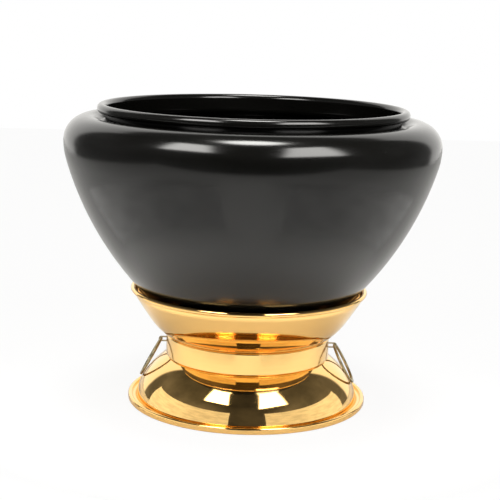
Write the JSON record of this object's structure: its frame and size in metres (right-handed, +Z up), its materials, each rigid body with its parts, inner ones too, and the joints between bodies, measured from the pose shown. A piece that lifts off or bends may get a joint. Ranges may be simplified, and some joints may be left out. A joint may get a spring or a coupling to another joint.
{
  "type": "alms bowl on stand",
  "caption": "Black coated round-bellied metal bowl with a rolled rim, standing in a gold-coloured spun metal stand with two hanging ring handles.",
  "frame": {"origin": "centre of the foot on the floor plane", "axes": "+Z up along the bowl's axis; the two ring handles are on the X axis, -Y is the front"},
  "size_m": [0.23, 0.23, 0.1848],
  "materials": {
    "black_lacquer": "gloss black coating",
    "gold": "polished gold-coloured",
    "handle_brass": "bright drawn wire and strip",
    "zinc_steel": "zinc plated"
  },
  "bodies": {
    "stand": {"saucer": "gold", "neck_band": "gold", "foot": "gold", "staple_eye_left": "handle_brass", "staple_eye_right": "handle_brass", "tie_bolt": "zinc_steel", "head_washer": "zinc_steel", "plain_washer": "zinc_steel", "spring_washer": "zinc_steel", "hex_nut": "zinc_steel", "backing_plate_left": "zinc_steel", "backing_plate_right": "zinc_steel"},
    "bowl": {"bowl": "black_lacquer"},
    "left_ring": {"ring_handle_left": "handle_brass"},
    "right_ring": {"ring_handle_right": "handle_brass"}
  },
  "joints": [
    {"name": "bowl_lift", "type": "slide", "parent": "stand", "child": "bowl", "axis": [0, 0, 1], "range_m": [0, 0.04]},
    {"name": "left_ring_swing", "type": "hinge", "parent": "stand", "child": "left_ring", "pos_m": [-0.05465, 0, 0.036], "axis": [0, 1, 0], "range_deg": [0, 122]},
    {"name": "right_ring_swing", "type": "hinge", "parent": "stand", "child": "right_ring", "pos_m": [0.05465, 0, 0.036], "axis": [0, -1, 0], "range_deg": [0, 122]}
  ]
}
